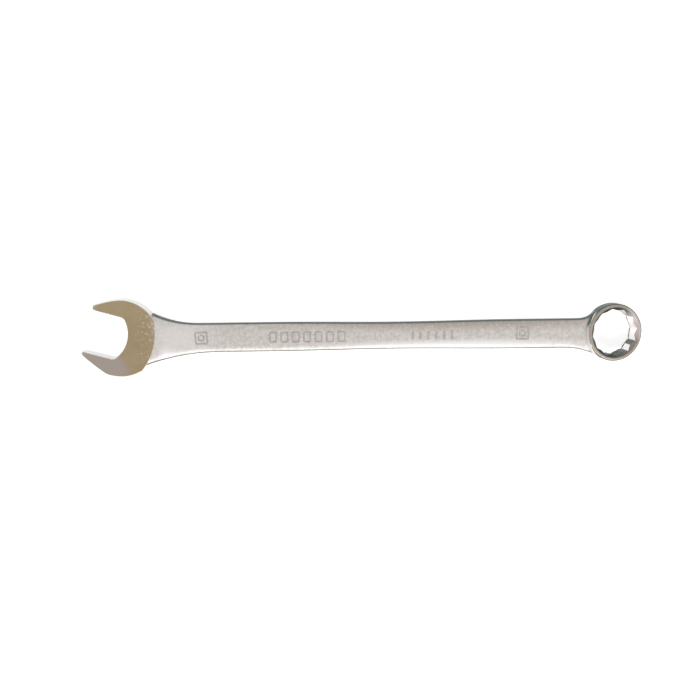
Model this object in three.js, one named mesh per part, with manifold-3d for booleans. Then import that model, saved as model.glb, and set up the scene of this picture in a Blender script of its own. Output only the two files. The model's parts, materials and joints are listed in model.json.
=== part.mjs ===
// Combination wrench for a 15 mm hexagon: an open end, a flat shank and a tilted ring end.
// The real tool is one drop forging. Its three regions, which are finished differently, are
// modelled as three solids that meet face to face: the open-end head with ground and polished
// faces, the satin shank, and the satin ring end with its 12-point socket.
//
// Millimetres. The wrench is drawn in the shank's own frame: X along the shank from the open
// end to the ring, Y across it, Z through its thickness, with the mid-plane at Z = 0. The last
// step lays it on the table, marked face up, on the ring's low edge and the jaws' underside.

import * as THREE from "three";
import { mergeVertices } from "three/addons/utils/BufferGeometryUtils.js";
import Module from "manifold-3d";

const wasm = await Module();
wasm.setup();

const { sin, cos, tan, sqrt, atan2, abs, sign, PI } = Math;
const { degToRad, lerp, smoothstep } = THREE.MathUtils;

// ---------------------------------------------------------------- driving dimensions
const acrossFlats = 15;

// Open end. Its frame has its origin at the centre of the gripped hexagon, and its jaws open
// towards -X. The whole end is turned by jawAngle from the shank.
const jawClearance = 0.2;
const jawAngle = degToRad(15.5);
const headCentre = new THREE.Vector2(-85.5, 0.3);
const hexToHeadCentre = new THREE.Vector2(6.1, 0.25);
const headRadius = 13.9;
const headThickness = 5.6;
const headEdgeRadius = 0.5;
const throatX = 8.5;
const throatRadius = 11;
const throatFillet = 2.2;
const tipX = -6.3;
const tipRadius = 0.8;
const upperBeakAngle = degToRad(31);
const lowerBeakAngle = degToRad(23);
const beakRootX = 4.4;
const polishCentreX = -4.6;
const polishRadius = 22.9;

// Ring end, tilted so that its outer side drops below the shank.
const ringCentre = new THREE.Vector3(89.3, 0, -2.2);
const ringTilt = degToRad(15);
const ringRadius = 10.2;
const ringHeight = 6.4;
const ringUpperEdge = 0.5;
const ringLowerEdge = 1.6;
const socketPoints = 12;
const socketTurn = degToRad(-8);
const socketClearance = 0.1;
const socketCornerRadius = 8.55;
const leadInRadius = 9.05;

// Shank: half width and half thickness of its crowned section. Its edges flare round into
// both ends, and the edge on the side of the upper jaw turns into the head later.
const waistX = 12;
const waistReach = 42;
const waistHalfWidth = 4.78;
const endHalfWidth = 5.22;
const halfThickness = 2.2;
const neckHalfThickness = 2.7;
const sectionPower = 4.5;
const upperFlare = { start: -58, radius: 35 };
const lowerFlare = { start: -50.5, radius: 78 };
const neckRise = { start: -60, end: -74 };
const headSideEnd = -78;
const ringFlareRadius = { upper: 5, lower: 22 };
const neckBend = { start: 75, end: 87 };
const ringSideEnd = 86;

// Fineness of the facets.
const arcSteps = 12;
const edgeSteps = 2;
const rimSteps = 4;
const ringSteps = 72;
const polishSteps = 96;
const sectionPoints = 32;
const stationStep = 4;
const flareStep = 1.5;

// ---------------------------------------------------------------- solids and geometries
function solidOf(geometry) {
  const bare = geometry.clone();
  bare.deleteAttribute("normal");
  bare.deleteAttribute("uv");
  const merged = mergeVertices(bare, 1e-4);
  return new wasm.Manifold(
    new wasm.Mesh({
      numProp: 3,
      vertProperties: new Float32Array(merged.attributes.position.array),
      triVerts: new Uint32Array(merged.index.array),
    }),
  );
}

function geometryOf(solid) {
  const mesh = solid.getMesh();
  const geometry = new THREE.BufferGeometry();
  geometry.setAttribute("position", new THREE.BufferAttribute(mesh.vertProperties, 3));
  geometry.setIndex(new THREE.BufferAttribute(mesh.triVerts, 1));
  geometry.computeVertexNormals();
  return geometry;
}

// ---------------------------------------------------------------- open end
// A jaw's outer edge swells from its tip to the round back: a curve whose corner is where the
// tip's tangent crosses that of the back. side is 1 on the upper jaw and -1 on the lower.
function beakEdge(side, tipY, beakAngle) {
  const tipEnd = PI / 2 + beakAngle;
  const tip = new THREE.Vector2(
    tipX + tipRadius * cos(tipEnd),
    side * (tipY + tipRadius * sin(tipEnd)),
  );
  const ahead = beakRootX - hexToHeadCentre.x;
  const across = side * sqrt(headRadius ** 2 - ahead ** 2);
  const root = new THREE.Vector2(beakRootX, hexToHeadCentre.y + across);
  const tipSlope = side * tan(beakAngle);
  const rootSlope = -ahead / across;
  const reach = (root.y - tip.y - rootSlope * (root.x - tip.x)) / (tipSlope - rootSlope);
  const corner = new THREE.Vector2(tip.x + reach, tip.y + reach * tipSlope);
  return { tip, corner, root, tipEnd, rootAngle: atan2(across, ahead) };
}

// Two parallel jaw faces, a throat of one wide arc with a fillet at each side, rounded tips,
// the outer edges and the round back.
function headOutline() {
  const jawY = (acrossFlats + jawClearance) / 2;
  const throatCentreX = throatX - throatRadius;
  const filletY = jawY - throatFillet;
  const filletX = throatCentreX + sqrt((throatRadius - throatFillet) ** 2 - filletY ** 2);
  const filletEnd = atan2(filletY, filletX - throatCentreX);

  const tipY = jawY + tipRadius;
  const upper = beakEdge(1, tipY, upperBeakAngle);
  const lower = beakEdge(-1, tipY, lowerBeakAngle);

  const outline = new THREE.Shape();
  outline.moveTo(tipX, jawY);
  outline.lineTo(filletX, jawY);
  outline.absarc(filletX, filletY, throatFillet, PI / 2, filletEnd, true);
  outline.absarc(throatCentreX, 0, throatRadius, filletEnd, -filletEnd, true);
  outline.absarc(filletX, -filletY, throatFillet, -filletEnd, -PI / 2, true);
  outline.lineTo(tipX, -jawY);
  outline.absarc(tipX, -tipY, tipRadius, PI / 2, 2 * PI - lower.tipEnd, false);
  outline.quadraticCurveTo(lower.corner.x, lower.corner.y, lower.root.x, lower.root.y);
  const { x: backX, y: backY } = hexToHeadCentre;
  outline.absarc(backX, backY, headRadius, lower.rootAngle, upper.rootAngle, false);
  outline.quadraticCurveTo(upper.corner.x, upper.corner.y, upper.tip.x, upper.tip.y);
  outline.absarc(tipX, tipY, tipRadius, upper.tipEnd, 1.5 * PI, false);
  return outline;
}

// Moves a geometry drawn about the gripped hexagon into the shank's frame.
function placeOnHead(geometry) {
  geometry.translate(-hexToHeadCentre.x, -hexToHeadCentre.y, 0);
  geometry.rotateZ(-jawAngle);
  geometry.translate(headCentre.x, headCentre.y, 0);
  return geometry;
}

function headPlate() {
  const plate = new THREE.ExtrudeGeometry(headOutline(), {
    depth: headThickness - 2 * headEdgeRadius,
    curveSegments: arcSteps,
    bevelEnabled: true,
    bevelSegments: edgeSteps,
    bevelThickness: headEdgeRadius,
    bevelSize: headEdgeRadius,
    bevelOffset: -headEdgeRadius,
  });
  plate.translate(0, 0, headEdgeRadius - headThickness / 2);
  return solidOf(placeOnHead(plate));
}

// The round stock that holds the polished region: the satin neck begins at its edge.
function polishCylinder() {
  const cylinder = new THREE.CylinderGeometry(
    polishRadius,
    polishRadius,
    2 * headThickness,
    polishSteps,
  );
  cylinder.rotateX(PI / 2);
  cylinder.translate(polishCentreX, 0, 0);
  return solidOf(placeOnHead(cylinder));
}

// ---------------------------------------------------------------- ring end
// Moves a geometry drawn about the ring's axis into the shank's frame.
function placeOnRing(geometry) {
  geometry.rotateY(ringTilt);
  geometry.translate(ringCentre.x, ringCentre.y, ringCentre.z);
  return geometry;
}

// Turns a profile of [radius, height] pairs about the ring's axis.
function turned(profile) {
  const points = profile.map(([radius, height]) => new THREE.Vector2(radius, height));
  const lathe = new THREE.LatheGeometry(points, ringSteps);
  lathe.rotateX(PI / 2);
  return solidOf(placeOnRing(lathe));
}

// One rounded rim of the ring, from its wall to its upper face (side 1) or lower one (side -1).
function rim(side, edgeRadius) {
  const points = [];
  for (let i = 0; i <= rimSteps; i++) {
    const angle = (i / rimSteps) * (PI / 2);
    const radius = ringRadius - edgeRadius * (1 - cos(angle));
    points.push([radius, side * (ringHeight / 2 - edgeRadius * (1 - sin(angle)))]);
  }
  return points;
}

// The ring before its socket is cut: a disc with rounded rims, the lower one rounder.
function ringBlank() {
  const half = ringHeight / 2;
  const lowerRim = rim(-1, ringLowerEdge).reverse();
  return turned([[0, -half], ...lowerRim, ...rim(1, ringUpperEdge), [0, half]]);
}

// The socket: two hexagons 30 degrees apart, with the outer corners cut back.
function socketCutter() {
  const apothem = (acrossFlats + socketClearance) / 2;
  const pitch = (2 * PI) / socketPoints;
  const tipReach = apothem / cos(pitch / 2);
  const corners = [];
  for (let i = 0; i < socketPoints; i++) {
    const tip = i * pitch + socketTurn;
    const notch = tip + pitch / 2;
    corners.push(new THREE.Vector2(tipReach * cos(tip), tipReach * sin(tip)));
    corners.push(
      new THREE.Vector2(socketCornerRadius * cos(notch), socketCornerRadius * sin(notch)),
    );
  }
  const depth = 2 * ringHeight;
  const prism = new THREE.ExtrudeGeometry(new THREE.Shape(corners), {
    depth,
    bevelEnabled: false,
  });
  prism.translate(0, 0, -depth / 2);
  return solidOf(placeOnRing(prism));
}

// A 45 degree lead-in at the upper face (side 1) or the lower one (side -1). It runs on past
// the face, so that the cut is clean.
function leadInCutter(side) {
  const half = ringHeight / 2;
  const base = leadInRadius + half;
  const cone = [
    [0, side * (half - leadInRadius)],
    [base, side * ringHeight],
    [0, side * ringHeight],
  ];
  return turned(side > 0 ? cone : cone.reverse());
}

// ---------------------------------------------------------------- shank
function flareRise(past, radius) {
  return past > 0 ? radius - sqrt(radius ** 2 - past ** 2) : 0;
}

// The ring-side flare is tangent to the shank's edge and to the ring: its ends follow.
function ringFlareOf(radius) {
  const reach = sqrt((ringRadius + radius) ** 2 - (endHalfWidth + radius) ** 2);
  const start = ringCentre.x - reach;
  return { radius, start, end: start + (reach * radius) / (ringRadius + radius) };
}

const upperRingFlare = ringFlareOf(ringFlareRadius.upper);
const lowerRingFlare = ringFlareOf(ringFlareRadius.lower);

// The edge's distance from the shank's middle. side is 1 on the upper edge and -1 on the lower.
function edge(x, side) {
  const fromWaist = smoothstep(abs(x - waistX), 0, waistReach);
  const straight = lerp(waistHalfWidth, endHalfWidth, fromWaist);
  const headFlare = side > 0 ? upperFlare : lowerFlare;
  const towardsHead = flareRise(headFlare.start - x, headFlare.radius);
  const ringFlare = side > 0 ? upperRingFlare : lowerRingFlare;
  if (x > ringFlare.end) return sqrt(ringRadius ** 2 - (x - ringCentre.x) ** 2);
  return straight + towardsHead + flareRise(x - ringFlare.start, ringFlare.radius);
}

function section(x) {
  const upper = edge(x, 1);
  const lower = edge(x, -1);
  const bent = Math.max(0, x - neckBend.start);
  const towardsHead = smoothstep(-x, -neckRise.start, -neckRise.end);
  return {
    y: (upper - lower) / 2,
    z: (-tan(ringTilt) * bent ** 2) / (2 * (neckBend.end - neckBend.start)),
    halfWidth: (upper + lower) / 2,
    halfHeight: lerp(halfThickness, neckHalfThickness, towardsHead),
  };
}

function shankStations() {
  const stations = [];
  for (let x = headSideEnd; x < lowerFlare.start; x += flareStep) stations.push(x);
  const flaring = lowerRingFlare.start;
  for (let x = lowerFlare.start; x < flaring; x += stationStep) stations.push(x);
  for (let x = flaring; x < ringSideEnd; x += flareStep) stations.push(x);
  stations.push(ringSideEnd);
  return stations;
}

// A loft of superellipse sections, closed by a flat cap at each end.
function shankBlank() {
  const stations = shankStations();
  const positions = [];
  const faces = [];
  const vertex = (i, k) => i * sectionPoints + (k % sectionPoints);
  const crowned = (value) => sign(value) * abs(value) ** (2 / sectionPower);
  for (const x of stations) {
    const { y, z, halfWidth, halfHeight } = section(x);
    for (let k = 0; k < sectionPoints; k++) {
      const angle = (k / sectionPoints) * 2 * PI;
      positions.push(x, y + halfWidth * crowned(cos(angle)), z + halfHeight * crowned(sin(angle)));
    }
  }
  for (let i = 0; i + 1 < stations.length; i++) {
    for (let k = 0; k < sectionPoints; k++) {
      faces.push(vertex(i, k), vertex(i, k + 1), vertex(i + 1, k));
      faces.push(vertex(i, k + 1), vertex(i + 1, k + 1), vertex(i + 1, k));
    }
  }
  const last = stations.length - 1;
  for (let k = 1; k + 1 < sectionPoints; k++) {
    faces.push(vertex(0, 0), vertex(0, k + 1), vertex(0, k));
    faces.push(vertex(last, 0), vertex(last, k), vertex(last, k + 1));
  }
  const geometry = new THREE.BufferGeometry();
  geometry.setAttribute("position", new THREE.Float32BufferAttribute(positions, 3));
  geometry.setIndex(faces);
  return solidOf(geometry);
}

// ---------------------------------------------------------------- assembly
const polish = polishCylinder();
const neckAndShank = shankBlank();
const openEnd = headPlate().add(neckAndShank).intersect(polish);
const blank = ringBlank();
const ringEnd = blank
  .subtract(socketCutter())
  .subtract(leadInCutter(1))
  .subtract(leadInCutter(-1));
const shank = neckAndShank.subtract(polish).subtract(blank);

const polishedChrome = new THREE.MeshStandardMaterial({
  color: 0xa8997c,
  roughness: 0.12,
  metalness: 1,
});
const satinChrome = new THREE.MeshStandardMaterial({
  color: 0xcdc8c5,
  roughness: 0.45,
  metalness: 1,
});
const satinRing = satinChrome.clone();

const wrench = new THREE.Group();
for (const [name, solid, material] of [
  ["open_end_head", openEnd, polishedChrome],
  ["shank", shank, satinChrome],
  ["ring_end", ringEnd, satinRing],
]) {
  const mesh = new THREE.Mesh(geometryOf(solid), material);
  mesh.name = name;
  wrench.add(mesh);
}

// It lies on the ring's low edge and the jaws' underside: the ring end is lifted until both are
// at one height.
const lowRim = new THREE.Vector2(ringRadius - ringLowerEdge, ringLowerEdge - ringHeight / 2);
const lowX = ringCentre.x + lowRim.x * cos(ringTilt) + lowRim.y * sin(ringTilt);
const rimZ = ringCentre.z - lowRim.x * sin(ringTilt) + lowRim.y * cos(ringTilt);
const lowZ = rimZ - ringLowerEdge;
const jawsX = headCentre.x - headRadius;
const lift = atan2(-headThickness / 2 - lowZ, lowX - jawsX);
wrench.rotation.y = -lift;

// The origin is on the table, under the middle of the wrench.
const part = new THREE.Group();
part.add(wrench);
const box = new THREE.Box3().setFromObject(part, true);
const centre = box.getCenter(new THREE.Vector3());
wrench.position.set(-centre.x, -centre.y, -box.min.z);

export default part;
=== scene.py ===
# A combination wrench for a 15 mm hexagon, lying marked face up on a pale floor.
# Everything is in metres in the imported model's frame. Shapes are drawn in millimetres in the
# forging's own frame, x along the shank, y across it and z out of its marked face, and placed.

import json
import math

import bmesh
import bpy
from mathutils import Matrix, Vector


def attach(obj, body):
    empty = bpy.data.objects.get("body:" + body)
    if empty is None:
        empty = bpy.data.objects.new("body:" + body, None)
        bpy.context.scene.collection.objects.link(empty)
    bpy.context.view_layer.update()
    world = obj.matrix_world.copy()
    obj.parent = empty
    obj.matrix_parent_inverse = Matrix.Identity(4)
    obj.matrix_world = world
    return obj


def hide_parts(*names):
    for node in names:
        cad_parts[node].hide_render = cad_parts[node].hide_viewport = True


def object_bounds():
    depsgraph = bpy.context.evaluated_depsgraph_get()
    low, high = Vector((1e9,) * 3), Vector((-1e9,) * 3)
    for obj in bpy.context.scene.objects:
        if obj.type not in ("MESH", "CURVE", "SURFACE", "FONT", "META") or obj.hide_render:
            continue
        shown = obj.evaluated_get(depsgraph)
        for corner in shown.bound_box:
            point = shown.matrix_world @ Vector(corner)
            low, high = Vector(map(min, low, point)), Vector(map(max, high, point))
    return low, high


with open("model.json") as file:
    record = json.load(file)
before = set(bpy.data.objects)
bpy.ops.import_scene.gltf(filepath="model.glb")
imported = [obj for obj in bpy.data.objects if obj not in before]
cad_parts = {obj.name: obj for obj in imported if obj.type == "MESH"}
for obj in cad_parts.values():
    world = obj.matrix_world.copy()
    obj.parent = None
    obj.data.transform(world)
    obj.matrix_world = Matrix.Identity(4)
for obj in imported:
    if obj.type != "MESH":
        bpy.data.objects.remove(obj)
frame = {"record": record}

cad_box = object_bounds()


# ---------------------------------------------------------------- camera
# A studio camera above the table, leaning a little over the upper jaw's side of the wrench,
# so that the walls on that side show as a thin line.
def link(name, data):
    thing = bpy.data.objects.new(name, data)
    bpy.context.scene.collection.objects.link(thing)
    return thing


camera = link("camera", bpy.data.cameras.new("camera"))
bpy.context.scene.camera = camera
camera.data.sensor_width = 36
camera.data.lens = 66.4
camera_spot = Vector((-0.0052, 0.0651, 0.4598))
camera_turn = [("Y", -0.2), ("X", -8.82), ("Z", -0.89)]
camera_matrix = Matrix.Translation(camera_spot)
for axis, degrees in camera_turn:
    camera_matrix = camera_matrix @ Matrix.Rotation(math.radians(degrees), 4, axis)
camera.matrix_world = camera_matrix


# ---------------------------------------------------------------- how the forging lies
# One drop forging of steel. It lies on its ring's low rim and its jaws, so the
# shank leans by 1.4 degrees. Its middle plane is halfway between the open end's ground faces.
mounts = {mount["name"]: mount for mount in frame["record"]["mounts"]}


def at(name):
    return Vector(mounts[name]["pos_m"])


def facing(name):
    return Vector(mounts[name]["axis"]).normalized()


up = facing("head_front_face")
along = Vector((up.z, 0, -up.x))
across = Vector((0, 1, 0))

RING_X = 89.3
RING_Z = -2.2
RING_HEIGHT = 6.4
RIM_MIDDLE = 9.375
ring_axis = facing("ring_front_face")
ring_slope = Vector((-ring_axis.z, 0, ring_axis.x))
ring_face_centre = at("ring_front_face") - ring_slope * RIM_MIDDLE / 1000
ring_centre = ring_face_centre - ring_axis * RING_HEIGHT / 2000
ring_tilt = math.atan2(ring_axis.dot(along), ring_axis.dot(up))

forging_origin = ring_centre - (along * RING_X + up * RING_Z) / 1000
place = Matrix.Identity(4)
for column, direction in enumerate((along, across, up)):
    for row in range(3):
        place[row][column] = direction[row] / 1000
        place[row][3] = forging_origin[row]


# ---------------------------------------------------------------- open-end head
# The open end, forged with the rest, then ground flat on both faces and buffed bright. Its jaws
# are milled parallel. Its edges are eased, and the jaw tips are rolled over.
HEAD_HALF = (at("head_front_face") - at("head_back_face")).dot(up) * 500
jaw_normal = facing("lower_jaw_face")
JAW_ANGLE = math.atan2(jaw_normal.dot(along), jaw_normal.y)
JAW_HALF_GAP = (at("upper_jaw_face") - at("lower_jaw_face")).dot(jaw_normal) * 500
HEAD_CENTRE = Vector((-85.5, 0.3))
HEX_TO_HEAD = Vector((6.1, 0.25))
HEAD_RADIUS = 13.9
THROAT_X = 8.5
THROAT_RADIUS = 11
THROAT_FILLET = 2.2
TIP_X = -6.3
TIP_RADIUS = 0.8
TIP_ROLL = 4.2
BEAK_ROOT_X = 4.4
BEAK_ANGLE = {1: math.radians(31), -1: math.radians(23)}
POLISH_CENTRE_X = -4.6
POLISH_RADIUS = 22.9
HEAD_EASE = 0.5
POLISH_EASE = 0.12
EASE_ROOM = 0.45
EASE_SEGMENTS = 4


def from_jaws(point):
    relative = point - HEX_TO_HEAD
    cosine, sine = math.cos(JAW_ANGLE), math.sin(JAW_ANGLE)
    turned = Vector((relative.x * cosine + relative.y * sine, relative.y * cosine - relative.x * sine))
    return HEAD_CENTRE + turned


def arc(centre, radius, start, end, count):
    steps = [start + (end - start) * i / count for i in range(1, count + 1)]
    return [centre + radius * Vector((math.cos(a), math.sin(a))) for a in steps]


# One jaw from its tip to the jaws' axis: its inner and its outer edge, point for point, and
# whether the outer point lies on the arc where the polish ends.
def jaw_edges(side):
    tip_steps, jaw_steps, fillet_steps, back_steps = 8, 34, 12, 20
    tip_centre = Vector((TIP_X, JAW_HALF_GAP + TIP_RADIUS))
    tip_end = math.pi / 2 + BEAK_ANGLE[side]
    throat_centre = Vector((THROAT_X - THROAT_RADIUS, 0))
    fillet_y = JAW_HALF_GAP - THROAT_FILLET
    fillet_x = throat_centre.x + math.sqrt((THROAT_RADIUS - THROAT_FILLET) ** 2 - fillet_y ** 2)
    fillet_end = math.atan2(fillet_y, fillet_x - throat_centre.x)

    inner = [tip_centre + Vector((-TIP_RADIUS, 0))]
    inner += arc(tip_centre, TIP_RADIUS, math.pi, 1.5 * math.pi, tip_steps)
    jaw_start, jaw_end = Vector((TIP_X, JAW_HALF_GAP)), Vector((fillet_x, JAW_HALF_GAP))
    inner += [jaw_start.lerp(jaw_end, i / jaw_steps) for i in range(1, jaw_steps + 1)]
    inner += arc(Vector((fillet_x, fillet_y)), THROAT_FILLET, math.pi / 2, fillet_end, fillet_steps)
    inner += arc(throat_centre, THROAT_RADIUS, fillet_end, 0, back_steps)

    back_centre = Vector((HEX_TO_HEAD.x, side * HEX_TO_HEAD.y))
    ahead = BEAK_ROOT_X - back_centre.x
    root = Vector((BEAK_ROOT_X, back_centre.y + math.sqrt(HEAD_RADIUS ** 2 - ahead ** 2)))
    root_angle = math.atan2(root.y - back_centre.y, ahead)
    tip = tip_centre + TIP_RADIUS * Vector((math.cos(tip_end), math.sin(tip_end)))
    tip_slope = math.tan(BEAK_ANGLE[side])
    root_slope = -ahead / (root.y - back_centre.y)
    reach = (root.y - tip.y - root_slope * (root.x - tip.x)) / (tip_slope - root_slope)
    corner = tip + Vector((reach, reach * tip_slope))

    polish_centre = Vector((POLISH_CENTRE_X, 0))
    apart = back_centre - polish_centre
    reach_in = (POLISH_RADIUS ** 2 - HEAD_RADIUS ** 2 + apart.length_squared) / (2 * apart.length)
    height = math.sqrt(POLISH_RADIUS ** 2 - reach_in ** 2)
    direction = apart.normalized()
    meeting = polish_centre + direction * reach_in + height * Vector((-direction.y, direction.x))
    meeting_angle = math.atan2(meeting.y - back_centre.y, meeting.x - back_centre.x)
    polish_angle = math.atan2(meeting.y, meeting.x - POLISH_CENTRE_X)
    shoulder_angle = math.radians(72)
    beak_steps = 22

    outer = [inner[0].copy()]
    outer += arc(tip_centre, TIP_RADIUS, math.pi, tip_end, tip_steps)
    for i in range(1, beak_steps + 1):
        t = i / beak_steps
        outer.append(tip * (1 - t) ** 2 + corner * (2 * t * (1 - t)) + root * t ** 2)
    outer += arc(back_centre, HEAD_RADIUS, root_angle, shoulder_angle, jaw_steps - beak_steps)
    outer += arc(back_centre, HEAD_RADIUS, shoulder_angle, meeting_angle, fillet_steps)
    outer += arc(polish_centre, POLISH_RADIUS, polish_angle, 0, back_steps)
    first_polished = len(outer) - back_steps
    return [
        (Vector((a.x, side * a.y)), Vector((b.x, side * b.y)), i >= first_polished)
        for i, (a, b) in enumerate(zip(inner, outer))
    ]


# The section from the inner edge to the outer edge, a plain rectangle that thins at the tips.
def head_section(inner, outer):
    roll = min(1, max(0, (min(inner.x, outer.x) - TIP_X + TIP_RADIUS) / TIP_ROLL))
    half = HEAD_HALF * math.sqrt(1 - (1 - roll) ** 2)
    corners = ((inner, half), (outer, half), (outer, -half), (inner, -half))
    return [(*from_jaws(corner), height) for corner, height in corners]


# How much of the full easing the inner and the outer edges get: less where there is no room.
def ease_shares(inner, outer, polished_edge):
    room = min(1, EASE_ROOM * (outer - inner).length / HEAD_EASE)
    return room, min(room, POLISH_EASE / HEAD_EASE if polished_edge else 1)


# Rows of points, all of one length, become a tube of quads whose ends are capped by strips.
def loft(rows):
    mesh = bmesh.new()
    count = len(rows[0])
    grid = [[mesh.verts.new(point) for point in row] for row in rows]
    for near, far in zip(grid, grid[1:]):
        for k in range(count):
            after = (k + 1) % count
            mesh.faces.new((near[k], near[after], far[after], far[k]))
    for row in (grid[0], grid[-1]):
        for k in range(count // 2 - 1):
            mesh.faces.new((row[k], row[k + 1], row[-k - 2], row[-k - 1]))
    return mesh, grid


MERGE_DISTANCE = 1e-4
SLIVER_LENGTH = 1e-5


# A drawn mesh becomes a piece in its place. Edges that turn by more than sharp_from stay sharp.
def piece_from(name, mesh, sharp_from=180):
    bmesh.ops.remove_doubles(mesh, verts=mesh.verts, dist=MERGE_DISTANCE)
    bmesh.ops.dissolve_degenerate(mesh, dist=SLIVER_LENGTH, edges=mesh.edges)
    bmesh.ops.recalc_face_normals(mesh, faces=mesh.faces)
    for face in mesh.faces:
        face.smooth = True
    for edge in mesh.edges:
        edge.smooth = edge.calc_face_angle(math.pi) < math.radians(sharp_from)
    data = bpy.data.meshes.new(name)
    mesh.to_mesh(data)
    mesh.free()
    data.transform(place)
    return link(name, data)


upper_jaw, lower_jaw = jaw_edges(1), jaw_edges(-1)
head_stations = upper_jaw + lower_jaw[-2::-1]
head_mesh, head_grid = loft([head_section(inner, outer) for inner, outer, _ in head_stations])
eased = head_mesh.edges.layers.float.new("bevel_weight_edge")
for near, far, station in zip(head_grid, head_grid[1:], head_stations):
    inner_share, outer_share = ease_shares(*station)
    for corner, share in enumerate((inner_share, outer_share, outer_share, inner_share)):
        head_mesh.edges.get((near[corner], far[corner]))[eased] = share
head = piece_from("open_end_head_polished", head_mesh)
easing = head.modifiers.new("eased edges", "BEVEL")
easing.width = HEAD_EASE / 1000
easing.segments = EASE_SEGMENTS
easing.limit_method = "WEIGHT"
easing.use_clamp_overlap = False
easing.harden_normals = True


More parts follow.
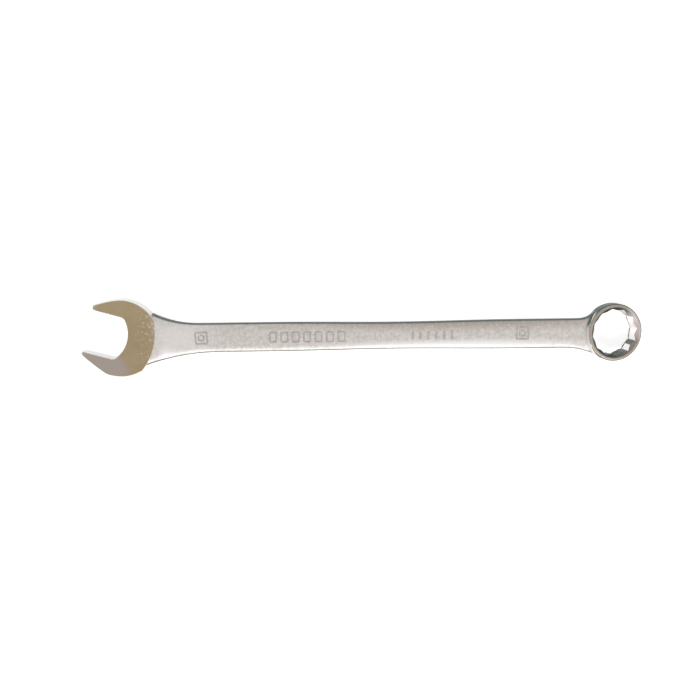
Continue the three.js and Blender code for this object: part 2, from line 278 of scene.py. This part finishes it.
# Nickel-chrome plate. Walls get a painted highlight where they turn to the highlight side, and painted
# shade elsewhere.
def chrome(name, face, cloud, patches, walls, gloss, specks, grain):
    material = bpy.data.materials.new(name)
    material.use_nodes = True
    nodes, links = material.node_tree.nodes, material.node_tree.links
    nodes.clear()

    output = nodes.new("ShaderNodeOutputMaterial")
    output.label = "finished plate"
    output.location = (1100, 0)
    surface = nodes.new("ShaderNodeBsdfPrincipled")
    surface.label = "chrome plate"
    surface.location = (800, 0)
    surface.inputs["Metallic"].default_value = 1
    links.new(surface.outputs["BSDF"], output.inputs["Surface"])
    spots = nodes.new("ShaderNodeTexCoord")
    spots.label = "place on the tool"
    spots.location = (-1500, 0)

    tone_frame = nodes.new("NodeFrame")
    tone_frame.label = "cloudy tone of the plate"
    tone = nodes.new("ShaderNodeTexNoise")
    tone.label = "clouds"
    tone.location = (-1200, 400)
    tone.parent = tone_frame
    tone.inputs["Scale"].default_value = cloud["per_metre"]
    tone.inputs["Detail"].default_value = 6
    tone.inputs["Roughness"].default_value = 0.65
    links.new(spots.outputs["Object"], tone.inputs["Vector"])
    contrast = nodes.new("ShaderNodeMapRange")
    contrast.label = "cloud contrast"
    contrast.location = (-950, 400)
    contrast.parent = tone_frame
    contrast.inputs["From Min"].default_value = 0.35
    contrast.inputs["From Max"].default_value = 0.65
    links.new(tone.outputs["Fac"], contrast.inputs["Value"])
    two_tones = nodes.new("ShaderNodeMix")
    two_tones.data_type = "RGBA"
    two_tones.label = "plate and clouds"
    two_tones.location = (-700, 400)
    two_tones.parent = tone_frame
    two_tones.inputs["A"].default_value = (*face, 1)
    two_tones.inputs["B"].default_value = (*cloud["colour"], 1)
    links.new(contrast.outputs["Result"], two_tones.inputs["Factor"])

    # Patches hold wear and stains, and also painted highlights and painted reflections.
    patch_frame = nodes.new("NodeFrame")
    patch_frame.label = "softly bounded patches: wear, painted highlights and painted reflections"
    plate = two_tones
    for i, patch in enumerate(patches):
        patch_place = nodes.new("ShaderNodeMapping")
        patch_place.vector_type = "TEXTURE"
        patch_place.label = "where the " + patch["label"] + " is"
        patch_place.location = (-1200, 800 + 400 * i)
        patch_place.parent = patch_frame
        patch_place.inputs["Location"].default_value = patch["spot"]
        patch_place.inputs["Rotation"].default_value = (0, 0, patch["turn"])
        patch_place.inputs["Scale"].default_value = patch["half_sizes"]
        links.new(spots.outputs["Object"], patch_place.inputs["Vector"])
        ball = nodes.new("ShaderNodeTexGradient")
        ball.gradient_type = "SPHERICAL"
        ball.label = "full in the middle"
        ball.location = (-950, 800 + 400 * i)
        ball.parent = patch_frame
        links.new(patch_place.outputs["Vector"], ball.inputs["Vector"])
        patch_edge = nodes.new("ShaderNodeMapRange")
        patch_edge.label = "how soft its edge is"
        patch_edge.interpolation_type = "SMOOTHSTEP"
        patch_edge.location = (-700, 800 + 400 * i)
        patch_edge.parent = patch_frame
        patch_edge.inputs["From Max"].default_value = patch["edge"]
        patch_edge.inputs["To Max"].default_value = patch["share"]
        links.new(ball.outputs["Fac"], patch_edge.inputs["Value"])
        patched = nodes.new("ShaderNodeMix")
        patched.data_type = "RGBA"
        patched.label = patch["label"]
        patched.location = (-450, 500 + 250 * i)
        patched.parent = patch_frame
        patched.inputs["B"].default_value = (*patch["tint"], 1)
        links.new(patch_edge.outputs["Result"], patched.inputs["Factor"])
        links.new(plate.outputs["Result"], patched.inputs["A"])
        plate = patched

    # Painted shade and painted highlight on the steep walls, picked by the way the skin faces.
    wall_frame = nodes.new("NodeFrame")
    wall_frame.label = "painted shade and highlight on walls and rounded edges"
    skin = nodes.new("ShaderNodeNewGeometry")
    skin.label = "which way the skin faces"
    skin.location = (-1200, -50)
    skin.parent = wall_frame
    split = nodes.new("ShaderNodeSeparateXYZ")
    split.label = "along, across, up"
    split.location = (-1000, -50)
    split.parent = wall_frame
    links.new(skin.outputs["Normal"], split.inputs["Vector"])
    turned = nodes.new("ShaderNodeVectorMath")
    turned.operation = "DOT_PRODUCT"
    turned.label = "how far it turns to the highlight side"
    turned.location = (-1000, 100)
    turned.parent = wall_frame
    turned.inputs[1].default_value = walls["highlight_side"]
    links.new(skin.outputs["Normal"], turned.inputs[0])
    to_highlight_side = nodes.new("ShaderNodeMapRange")
    to_highlight_side.label = "turned to the highlight side"
    to_highlight_side.interpolation_type = "SMOOTHSTEP"
    to_highlight_side.location = (-750, 0)
    to_highlight_side.parent = wall_frame
    to_highlight_side.inputs["From Min"].default_value = walls["highlight_from"]
    to_highlight_side.inputs["From Max"].default_value = walls["highlight_at"]
    links.new(turned.outputs["Value"], to_highlight_side.inputs["Value"])
    wall_shade_or_highlight = nodes.new("ShaderNodeMix")
    wall_shade_or_highlight.data_type = "RGBA"
    wall_shade_or_highlight.label = "painted shade or painted highlight on the wall"
    wall_shade_or_highlight.location = (-500, 0)
    wall_shade_or_highlight.parent = wall_frame
    wall_shade_or_highlight.inputs["A"].default_value = (*walls["dark"], 1)
    wall_shade_or_highlight.inputs["B"].default_value = (*walls["bright"], 1)
    links.new(to_highlight_side.outputs["Result"], wall_shade_or_highlight.inputs["Factor"])
    steep = nodes.new("ShaderNodeMath")
    steep.operation = "ABSOLUTE"
    steep.label = "flat or steep"
    steep.location = (-750, -250)
    steep.parent = wall_frame
    links.new(split.outputs["Z"], steep.inputs[0])
    flatness = nodes.new("ShaderNodeMapRange")
    flatness.label = "wall to face"
    flatness.interpolation_type = "SMOOTHSTEP"
    flatness.location = (-500, -250)
    flatness.parent = wall_frame
    flatness.inputs["From Min"].default_value = walls["steep"]
    flatness.inputs["From Max"].default_value = walls["flat"]
    links.new(steep.outputs["Value"], flatness.inputs["Value"])
    painted = nodes.new("ShaderNodeMix")
    painted.data_type = "RGBA"
    painted.label = "faces over walls"
    painted.location = (-150, 200)
    painted.parent = wall_frame
    links.new(flatness.outputs["Result"], painted.inputs["Factor"])
    links.new(wall_shade_or_highlight.outputs["Result"], painted.inputs["A"])
    links.new(painted.outputs["Result"], surface.inputs["Base Color"])

    speck_frame = nodes.new("NodeFrame")
    speck_frame.label = "specks and short scratches"
    speck_noise = nodes.new("ShaderNodeTexNoise")
    speck_noise.label = "speck noise"
    speck_noise.location = (-950, -500)
    speck_noise.parent = speck_frame
    speck_noise.inputs["Scale"].default_value = specks["per_metre"]
    speck_noise.inputs["Detail"].default_value = 4
    speck_noise.inputs["Roughness"].default_value = 0.7
    links.new(spots.outputs["Object"], speck_noise.inputs["Vector"])
    speck_cut = nodes.new("ShaderNodeMapRange")
    speck_cut.label = "only the peaks"
    speck_cut.location = (-700, -500)
    speck_cut.parent = speck_frame
    speck_cut.inputs["From Min"].default_value = specks["level"]
    speck_cut.inputs["From Max"].default_value = specks["level"] + 0.12
    speck_cut.inputs["To Max"].default_value = specks["share"]
    links.new(speck_noise.outputs["Fac"], speck_cut.inputs["Value"])
    worn_place = nodes.new("ShaderNodeMapping")
    worn_place.vector_type = "TEXTURE"
    worn_place.label = "where it is worn"
    worn_place.location = (-950, -750)
    worn_place.parent = speck_frame
    worn_place.inputs["Location"].default_value = specks["spot"]
    worn_place.inputs["Scale"].default_value = specks["half_sizes"]
    links.new(spots.outputs["Object"], worn_place.inputs["Vector"])
    worn = nodes.new("ShaderNodeTexGradient")
    worn.gradient_type = "SPHERICAL"
    worn.label = "most in the middle"
    worn.location = (-700, -750)
    worn.parent = speck_frame
    links.new(worn_place.outputs["Vector"], worn.inputs["Vector"])
    speck_amount = nodes.new("ShaderNodeMath")
    speck_amount.operation = "MULTIPLY"
    speck_amount.label = "specks where it is worn"
    speck_amount.location = (-450, -600)
    speck_amount.parent = speck_frame
    links.new(speck_cut.outputs["Result"], speck_amount.inputs[0])
    links.new(worn.outputs["Fac"], speck_amount.inputs[1])
    speckled = nodes.new("ShaderNodeMix")
    speckled.data_type = "RGBA"
    speckled.label = "pale specks on top"
    speckled.location = (-300, 400)
    speckled.parent = speck_frame
    speckled.inputs["B"].default_value = (0.8, 0.77, 0.72, 1)
    links.new(speck_amount.outputs["Value"], speckled.inputs["Factor"])
    links.new(plate.outputs["Result"], speckled.inputs["A"])
    links.new(speckled.outputs["Result"], painted.inputs["B"])

    grain_frame = nodes.new("NodeFrame")
    grain_frame.label = "grain and gloss"
    pits = nodes.new("ShaderNodeTexNoise")
    pits.label = "grain of the finish"
    pits.location = (-700, -850)
    pits.parent = grain_frame
    pits.inputs["Scale"].default_value = grain["per_metre"]
    pits.inputs["Detail"].default_value = 3
    links.new(spots.outputs["Object"], pits.inputs["Vector"])
    relief = nodes.new("ShaderNodeBump")
    relief.label = "grain relief"
    relief.location = (-150, -850)
    relief.parent = grain_frame
    relief.inputs["Distance"].default_value = grain["depth"]
    links.new(pits.outputs["Fac"], relief.inputs["Height"])
    links.new(relief.outputs["Normal"], surface.inputs["Normal"])
    dull = nodes.new("ShaderNodeMapRange")
    dull.label = "gloss varies with the clouds"
    dull.location = (-150, -550)
    dull.parent = grain_frame
    dull.inputs["To Min"].default_value = gloss * 0.8
    dull.inputs["To Max"].default_value = gloss * 1.25
    links.new(tone.outputs["Fac"], dull.inputs["Value"])
    links.new(dull.outputs["Result"], surface.inputs["Roughness"])
    return material


# The tan of the face and of its clouds is a painted reflection of a tan surrounding; the plate itself is
# near neutral.
polished = chrome(
    "polished chrome, tan painted reflection",
    face=(0.42, 0.325, 0.20),
    cloud={"colour": (0.37, 0.285, 0.175), "per_metre": 110},
    patches=[
        # Painted reflection: the lower jaw's face shows a greyer surrounding than the rest of the head.
        {
            "label": "painted greyer reflection on the lower jaw", "tint": (0.41, 0.355, 0.32), "spot": (-0.0905, -0.0085, 0.0055),
            "half_sizes": (0.0115, 0.0056, 0.02), "turn": -0.55, "edge": 0.5, "share": 0.9,
        },
        {
            "label": "browner heel", "tint": (0.27, 0.205, 0.115), "spot": (-0.0725, -0.0105, 0.0055),
            "half_sizes": (0.004, 0.008, 0.02), "turn": -0.7, "edge": 0.8, "share": 0.7,
        },
        {
            "label": "rubbed back", "tint": (0.56, 0.48, 0.36), "spot": (-0.0722, 0.0045, 0.0055),
            "half_sizes": (0.0035, 0.009, 0.02), "turn": 0.15, "edge": 1.0, "share": 0.45,
        },
    ],
    # The head's walls: a painted highlight where they face away from the shank, a grey painted shade
    # elsewhere.
    walls={
        "dark": (0.62, 0.63, 0.60), "bright": (0.93, 0.93, 0.91), "steep": 0.75, "flat": 0.985,
        "highlight_side": (-1, 0, 0), "highlight_from": 0.5, "highlight_at": 0.85,
    },
    gloss=0.16,
    specks={
        "per_metre": 1000, "level": 0.55, "share": 1.0,
        "spot": (-0.0735, 0.0015, 0.0055), "half_sizes": (0.0075, 0.016, 0.02),
    },
    grain={"per_metre": 250, "depth": 2e-6},
)
head.data.materials.append(polished)
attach(head, "root")
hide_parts("open_end_head")


# ---------------------------------------------------------------- shank
# The shank, a flat bar with softly rounded edges and a slight waist, forged and then blasted to
# a satin grain. It flares into the head, bends down to the ring and fillets up to its wall.
RING_RADIUS = 10.2
WAIST_X = 12
WAIST_REACH = 42
WAIST_HALF = 4.78
END_HALF = 5.22
HALF_THICKNESS = 2.2
NECK_HALF_THICKNESS = 2.7
SECTION_POWER = 4.5
HEAD_FLARE = {1: (-58, 35), -1: (-50.5, 78)}
NECK_RISE = (60, 74)
RING_FLARE_RADIUS = {1: 5, -1: 22}
BEND_START = 75
BEND_END = 87
WALL_FILLET = 1.5
CLIMB_POWER = 6
BURIED = 0.15
SINK_REACH = 2
HEAD_SEARCH = (-82, -60)
RING_SEARCH = (70, 85)
BISECT_STEPS = 40
SHANK_POINTS = 24
SHANK_ROWS = 44
ROW_CROWDING = 0.13
SHANK_SMOOTHING = 2


def smoothstep(value, low, high):
    share = min(1, max(0, (value - low) / (high - low)))
    return share * share * (3 - 2 * share)


# The flare towards the ring is tangent to the straight edge and to the ring: its ends follow.
def ring_flare(side):
    radius = RING_FLARE_RADIUS[side]
    reach = math.sqrt((RING_RADIUS + radius) ** 2 - (END_HALF + radius) ** 2)
    return RING_X - reach, RING_X - reach * RING_RADIUS / (RING_RADIUS + radius), radius


def flare_rise(past, radius):
    return radius - math.sqrt(radius ** 2 - past ** 2) if past > 0 else 0


# The edge's distance from the middle line, on the upper jaw's side (1) or the other (-1).
def shank_edge(x, side):
    straight = WAIST_HALF + (END_HALF - WAIST_HALF) * smoothstep(abs(x - WAIST_X), 0, WAIST_REACH)
    flare_start, flare_end, flare_radius = ring_flare(side)
    if x > flare_end:
        sunk = BURIED * smoothstep(x, flare_end, flare_end + SINK_REACH)
        return math.sqrt((RING_RADIUS - sunk) ** 2 - (x - RING_X) ** 2)
    start, radius = HEAD_FLARE[side]
    return straight + flare_rise(start - x, radius) + flare_rise(x - flare_start, flare_radius)


def shank_half(x):
    return HALF_THICKNESS + (NECK_HALF_THICKNESS - HALF_THICKNESS) * smoothstep(-x, *NECK_RISE)


def ring_distance(x, y, z):
    off_x, off_z = x - RING_X, z - RING_Z
    radial = off_x * math.cos(ring_tilt) - off_z * math.sin(ring_tilt)
    return math.hypot(radial, y) - RING_RADIUS


# The point of the shank's skin at x, where angle goes round the section from the upper edge.
def shank_skin(x, angle):
    upper, lower = shank_edge(x, 1), shank_edge(x, -1)
    cosine, sine = math.cos(angle), math.sin(angle)
    share_y = math.copysign(abs(cosine) ** (2 / SECTION_POWER), cosine)
    share_z = math.copysign(abs(sine) ** (2 / SECTION_POWER), sine)
    bent = max(0, x - BEND_START)
    middle_z = -math.tan(ring_tilt) * bent ** 2 / (2 * (BEND_END - BEND_START))
    y = (upper - lower) / 2 + (upper + lower) / 2 * share_y
    z = middle_z + shank_half(x) * share_z
    gap = ring_distance(x, y, z)
    if gap < WALL_FILLET:
        inside = WALL_FILLET - max(0, gap)
        climb = WALL_FILLET - math.sqrt(max(0, WALL_FILLET ** 2 - inside ** 2))
        z += climb * share_z * (1 - abs(share_y) ** CLIMB_POWER)
    return Vector((x, y, z))


# Where a line of the skin leaves the head's polished arc, and where it enters the ring's wall.
def bisect(inside, low, high):
    for _ in range(BISECT_STEPS):
        middle = (low + high) / 2
        low, high = (middle, high) if inside(middle) else (low, middle)
    return (low + high) / 2


polish_spot = from_jaws(Vector((POLISH_CENTRE_X, 0)))


def skin_limits(angle):
    def in_polish(x):
        point = shank_skin(x, angle)
        return (Vector((point.x, point.y)) - polish_spot).length < POLISH_RADIUS - BURIED

    def before_ring(x):
        return ring_distance(*shank_skin(x, angle)) > -BURIED

    return bisect(in_polish, *HEAD_SEARCH), bisect(before_ring, *RING_SEARCH)


# Rows stand closer together towards both ends, where the flares are.
def row_share(i):
    t = i / SHANK_ROWS
    return t - ROW_CROWDING * math.sin(2 * math.pi * t)


angles = [2 * math.pi * (k + 0.5) / SHANK_POINTS for k in range(SHANK_POINTS)]
limits = [skin_limits(angle) for angle in angles]
shank_rows = []
for i in range(SHANK_ROWS + 1):
    share = row_share(i)
    shank_rows.append([
        shank_skin(start + (end - start) * share, angle)
        for angle, (start, end) in zip(angles, limits)
    ])
shank_mesh, shank_grid = loft(shank_rows)
crease = shank_mesh.edges.layers.float.new("crease_edge")
for end_row in (shank_grid[0], shank_grid[-1]):
    for corner, after in zip(end_row, end_row[1:] + end_row[:1]):
        shank_mesh.edges.get((corner, after))[crease] = 1
shank = piece_from("shank_satin", shank_mesh)
smoothing = shank.modifiers.new("forged round", "SUBSURF")
smoothing.levels = smoothing.render_levels = SHANK_SMOOTHING

satin = chrome(
    "satin chrome",
    face=(0.68, 0.635, 0.61),
    cloud={"colour": (0.50, 0.465, 0.435), "per_metre": 800},
    patches=[
        # Painted reflection: the face darkens to tan towards its upper edge.
        {
            "label": "painted tan reflection towards the upper edge", "tint": (0.39, 0.33, 0.28),
            "spot": (0.036, 0.0052, 0.008),
            "half_sizes": (0.09, 0.0052, 0.02), "turn": 0, "edge": 0.9, "share": 0.8,
        },
        # Painted highlight along the face's lower edge, where the crown turns towards the light.
        {
            "label": "painted highlight along the lower edge", "tint": (0.84, 0.82, 0.82), "spot": (0.035, -0.0034, 0.008),
            "half_sizes": (0.062, 0.0024, 0.02), "turn": 0.004, "edge": 0.9, "share": 0.8,
        },
        # Painted highlight over the neck and its flare into the head.
        {
            "label": "painted highlight on the neck", "tint": (0.78, 0.74, 0.72), "spot": (-0.064, 0.001, 0.007),
            "half_sizes": (0.017, 0.011, 0.03), "turn": 0, "edge": 0.9, "share": 0.6,
        },
        # Painted highlight on the lower flare beside the head.
        {
            "label": "painted highlight beside the head", "tint": (0.84, 0.81, 0.81), "spot": (-0.0688, -0.0065, 0.007),
            "half_sizes": (0.0045, 0.0055, 0.02), "turn": 0.3, "edge": 1.0, "share": 0.8,
        },
        # Painted highlight on the bend just before the ring.
        {
            "label": "painted highlight before the ring", "tint": (0.80, 0.77, 0.77), "spot": (0.0826, -0.001, 0.006),
            "half_sizes": (0.003, 0.0075, 0.03), "turn": -0.1, "edge": 0.7, "share": 0.85,
        },
    ],
    # The shank's walls: a painted highlight where they face the head's way and the lower edge's way,
    # dark painted shade elsewhere.
    walls={
        "dark": (0.08, 0.105, 0.096), "bright": (0.70, 0.675, 0.66), "steep": 0.62, "flat": 0.95,
        "highlight_side": (-0.85, -0.4, 0), "highlight_from": 0.42, "highlight_at": 0.6,
    },
    gloss=0.42,
    specks={
        "per_metre": 1700, "level": 0.54, "share": 0.6,
        "spot": (0.0, 0.0, 0.007), "half_sizes": (0.3, 0.05, 0.05),
    },
    grain={"per_metre": 2500, "depth": 5e-5},
)
shank.data.materials.append(satin)
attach(shank, "root")
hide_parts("shank")


# ---------------------------------------------------------------- ring end
# The ring, turned true and broached: two hexagons a twelfth of a turn apart make its twelve
# points. Both faces have a lead-in chamfer, and the outer rims are rounded.
UPPER_RIM = 0.7
LOWER_RIM = 2.1
LEAD_IN_RADIUS = 9.05
BORE_BLANK = 7.2
RIM_STEPS = 8
RING_STEPS = 144
SEAM_MERGE = 1e-3
SOCKET_APOTHEM = 7.55
SOCKET_NOTCH = 8.55
SOCKET_POINTS = 12
SOCKET_TURN = math.radians(-8)


# A quarter round of the ring's outer edge, from its face (side 1 or -1) out to its wall.
def rim(side, radius):
    points = []
    for i in range(RIM_STEPS + 1):
        angle = math.pi / 2 * i / RIM_STEPS
        out = RING_RADIUS - radius * (1 - math.sin(angle))
        points.append((out, side * (RING_HEIGHT / 2 - radius * (1 - math.cos(angle)))))
    return points


def apply_stack(piece):
    depsgraph = bpy.context.evaluated_depsgraph_get()
    mesh = bmesh.new()
    mesh.from_mesh(piece.evaluated_get(depsgraph).to_mesh())
    bmesh.ops.remove_doubles(mesh, verts=mesh.verts, dist=SEAM_MERGE)
    bmesh.ops.recalc_face_normals(mesh, faces=mesh.faces)
    piece.modifiers.clear()
    mesh.to_mesh(piece.data)
    return mesh


# The lower rim reaches in past the lead-in circle, so the profile crosses itself a little there.
# The broaching uses the fast solver, because the exact one left no ring.
half = RING_HEIGHT / 2
lead_in = LEAD_IN_RADIUS - BORE_BLANK
profile = [(BORE_BLANK, half - lead_in), (LEAD_IN_RADIUS, half)]
profile += rim(1, UPPER_RIM) + rim(-1, LOWER_RIM)[::-1]
profile += [(LEAD_IN_RADIUS, -half), (BORE_BLANK, lead_in - half)]
blank_data = bpy.data.meshes.new("ring_blank")
edges = [(i, (i + 1) % len(profile)) for i in range(len(profile))]
blank_data.from_pydata([(radius, 0, height) for radius, height in profile], edges, [])
blank = link("ring_blank", blank_data)
turning = blank.modifiers.new("turning", "SCREW")
turning.steps = turning.render_steps = RING_STEPS
turning.use_merge_vertices = True
turning.merge_threshold = SEAM_MERGE
apply_stack(blank).free()

pitch = 2 * math.pi / SOCKET_POINTS
star = []
for i in range(SOCKET_POINTS):
    inner_corner = (SOCKET_APOTHEM / math.cos(pitch / 2), SOCKET_TURN + i * pitch)
    notch = (SOCKET_NOTCH, SOCKET_TURN + (i + 0.5) * pitch)
    star += [(r * math.cos(a), r * math.sin(a), 0) for r, a in (inner_corner, notch)]
broach_data = bpy.data.meshes.new("broach")
broach_data.from_pydata(star, [], [range(len(star))])
broach = link("broach", broach_data)
length = broach.modifiers.new("length", "SOLIDIFY")
length.thickness = 2 * RING_HEIGHT
length.offset = 0
broaching = blank.modifiers.new("broaching", "BOOLEAN")
broaching.object = broach
broaching.operation = "DIFFERENCE"
broaching.solver = "FAST"
ring_mesh = apply_stack(blank)
bpy.data.objects.remove(broach)
bpy.data.objects.remove(blank)
ring_mesh.transform(Matrix.Translation((RING_X, 0, RING_Z)) @ Matrix.Rotation(ring_tilt, 4, "Y"))
ring = piece_from("ring_end_broached", ring_mesh, sharp_from=32)

# The tan of the ring's face and of its clouds is a painted reflection of a tan surrounding.
satin_ring = chrome(
    "satin chrome of the ring, tan painted reflection",
    face=(0.42, 0.36, 0.30),
    cloud={"colour": (0.36, 0.31, 0.26), "per_metre": 800},
    patches=[
        # Painted highlight on the lead-in chamfer on the far side of the bore.
        {
            "label": "painted highlight on the lead-in", "tint": (0.76, 0.66, 0.65), "spot": (0.0972, 0.0025, 0.006),
            "half_sizes": (0.0028, 0.0075, 0.02), "turn": 0.35, "edge": 0.6, "share": 0.9,
        },
    ],
    # The ring's walls: a painted highlight where they face the shank, dark painted shade elsewhere.
    walls={
        "dark": (0.065, 0.088, 0.08), "bright": (0.97, 0.94, 0.93), "steep": 0.62, "flat": 0.95,
        "highlight_side": (-1, 0, 0), "highlight_from": 0.6, "highlight_at": 0.85,
    },
    gloss=0.36,
    specks={
        "per_metre": 1700, "level": 0.56, "share": 0.5,
        "spot": (0.0895, 0.0, 0.005), "half_sizes": (0.03, 0.03, 0.03),
    },
    grain={"per_metre": 2500, "depth": 3e-5},
)
ring.data.materials.append(satin_ring)
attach(ring, "root")
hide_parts("ring_end")


# ---------------------------------------------------------------- stamped marks
# Plain raised marks on the shank's face, struck by the forging die: a square with a hexagon in
# it near each end, a row of seven tablets and a row of six short bars. None is a letter.
MARK_HEIGHT = 0.16
MARK_ROOT = 0.1
MARK_EASE = 0.05
BOX_HALF = 2.3
BOX_STROKE = 0.5
BOX_SPOTS = [(-56.7, 0.0, 3), (57.1, 0.35, -2)]
HEXAGON_OUTER = 1.35
TABLETS = {"first_x": -31.2, "pitch": 4.05, "count": 7, "half": (1.35, 1.95), "round": 0.5}
BARS = {"first_x": 18.3, "pitch": 2.8, "count": 6, "half": (0.3, 1.4), "round": 0.25}
TABLET_STROKE = 0.42


def face_height(x, y):
    middle = (shank_edge(x, 1) - shank_edge(x, -1)) / 2
    share = (y - middle) / ((shank_edge(x, 1) + shank_edge(x, -1)) / 2)
    return shank_half(x) * (1 - abs(share) ** SECTION_POWER) ** (1 / SECTION_POWER)


def rounded_rectangle(half_x, half_y, radius, steps=4):
    corners = [(1, 1, 0), (-1, 1, 90), (-1, -1, 180), (1, -1, 270)]
    points = []
    for sign_x, sign_y, start in corners:
        centre = Vector((sign_x * (half_x - radius), sign_y * (half_y - radius)))
        for i in range(steps + 1):
            angle = math.radians(start + 90 * i / steps)
            points.append(centre + radius * Vector((math.cos(angle), math.sin(angle))))
    return points


def polygon(radius, sides, turn=0):
    angles = [2 * math.pi * (i + turn) / sides for i in range(sides)]
    return [radius * Vector((math.cos(a), math.sin(a))) for a in angles]


# A mark is an outline, or the strip between an outline and a smaller one of as many points,
# raised from just under the face to just above it.
def raise_mark(mesh, spot, outer, inner=None, turn=0):
    cosine, sine = math.cos(math.radians(turn)), math.sin(math.radians(turn))

    def corner(point, height):
        x = spot[0] + point.x * cosine - point.y * sine
        y = spot[1] + point.x * sine + point.y * cosine
        return mesh.verts.new((x, y, face_height(x, y) + height))

    loops = [outer] if inner is None else [outer, inner]
    levels = [[[corner(p, h) for p in loop] for loop in loops] for h in (-MARK_ROOT, MARK_HEIGHT)]
    count = len(outer)
    for k in range(count):
        after = (k + 1) % count
        for index in range(len(loops)):
            low, high = levels[0][index], levels[1][index]
            mesh.faces.new((low[k], low[after], high[after], high[k]))
        if inner is not None:
            for level in levels:
                mesh.faces.new((level[0][k], level[0][after], level[1][after], level[1][k]))
    if inner is None:
        for level in levels:
            mesh.faces.new(level[0])


marks_mesh = bmesh.new()
for x, y, turn in BOX_SPOTS:
    square = rounded_rectangle(BOX_HALF, BOX_HALF, BOX_STROKE)
    square_hole = rounded_rectangle(BOX_HALF - BOX_STROKE, BOX_HALF - BOX_STROKE, BOX_STROKE / 2)
    raise_mark(marks_mesh, (x, y), square, square_hole, turn)
    hexagon = polygon(HEXAGON_OUTER, 6, 0.5)
    hexagon_hole = polygon(HEXAGON_OUTER - BOX_STROKE, 6, 0.5)
    raise_mark(marks_mesh, (x, y), hexagon, hexagon_hole, turn)
for i in range(TABLETS["count"]):
    half_x, half_y = TABLETS["half"]
    outline = rounded_rectangle(half_x, half_y, TABLETS["round"])
    hole = rounded_rectangle(half_x - TABLET_STROKE, half_y - TABLET_STROKE, TABLETS["round"] / 3)
    raise_mark(marks_mesh, (TABLETS["first_x"] + i * TABLETS["pitch"], 0), outline, hole)
for i in range(BARS["count"]):
    outline = rounded_rectangle(*BARS["half"], BARS["round"])
    raise_mark(marks_mesh, (BARS["first_x"] + i * BARS["pitch"], 0), outline)
marks = piece_from("struck_marks", marks_mesh, sharp_from=32)
worn_edges = marks.modifiers.new("worn edges", "BEVEL")
worn_edges.width = MARK_EASE / 1000
worn_edges.segments = 2
worn_edges.limit_method = "ANGLE"
worn_edges.angle_limit = math.radians(40)

# The marks' darker face and walls are painted shade, so that their outlines show.
struck = chrome(
    "satin chrome of the marks, painted shade",
    face=(0.52, 0.48, 0.455),
    cloud={"colour": (0.42, 0.39, 0.365), "per_metre": 800},
    patches=[],
    walls={
        "dark": (0.16, 0.16, 0.15), "bright": (0.3, 0.29, 0.28), "steep": 0.62, "flat": 0.95,
        "highlight_side": (-1, 0, 0), "highlight_from": 0.5, "highlight_at": 0.85,
    },
    gloss=0.42,
    specks={
        "per_metre": 1700, "level": 0.54, "share": 0.5,
        "spot": (0.0, 0.0, 0.007), "half_sizes": (0.3, 0.05, 0.05),
    },
    grain={"per_metre": 2500, "depth": 3e-5},
)
marks.data.materials.append(struck)
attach(marks, "root")


# ---------------------------------------------------------------- floor and light
# White translucent acrylic, lit a little from below so that shadows stay faint, under a pale
# sky. One broad soft light stands on the lower jaw's side.
FLOOR_REACH = 3
floor_z = cad_box[0][2]
floor_data = bpy.data.meshes.new("floor")
floor_corners = [(x, y, floor_z) for x, y in ((-1, -1), (1, -1), (1, 1), (-1, 1))]
floor_corners = [(x * FLOOR_REACH, y * FLOOR_REACH, z) for x, y, z in floor_corners]
floor_data.from_pydata(floor_corners, [], [(0, 1, 2, 3)])
floor = link("floor", floor_data)
acrylic = bpy.data.materials.new("white acrylic")
acrylic.use_nodes = True
acrylic_surface = acrylic.node_tree.nodes["Principled BSDF"]
acrylic_surface.label = "matt acrylic"
acrylic_surface.inputs["Base Color"].default_value = (0.93, 0.93, 0.93, 1)
acrylic_surface.inputs["Roughness"].default_value = 0.9
acrylic_surface.inputs["Emission Color"].default_value = (1, 1, 1, 1)
acrylic_surface.inputs["Emission Strength"].default_value = 0.45
floor_data.materials.append(acrylic)

world = bpy.data.worlds.new("studio")
bpy.context.scene.world = world
world.use_nodes = True
sky = world.node_tree.nodes["Background"]
sky.label = "pale sky"
sky.inputs["Color"].default_value = (1, 1, 1, 1)
sky.inputs["Strength"].default_value = 0.88

key_data = bpy.data.lights.new("key", "AREA")
key_data.shape = "RECTANGLE"
key_data.size = 1.4
key_data.size_y = 0.35
key_data.energy = 4.5
key = link("key", key_data)
key_spot = Vector((0.15, -0.75, 0.7))
key_turn = (-key_spot).to_track_quat("-Z", "Y").to_matrix().to_4x4()
key.matrix_world = Matrix.Translation(key_spot) @ key_turn

bpy.context.scene.view_settings.view_transform = "Standard"
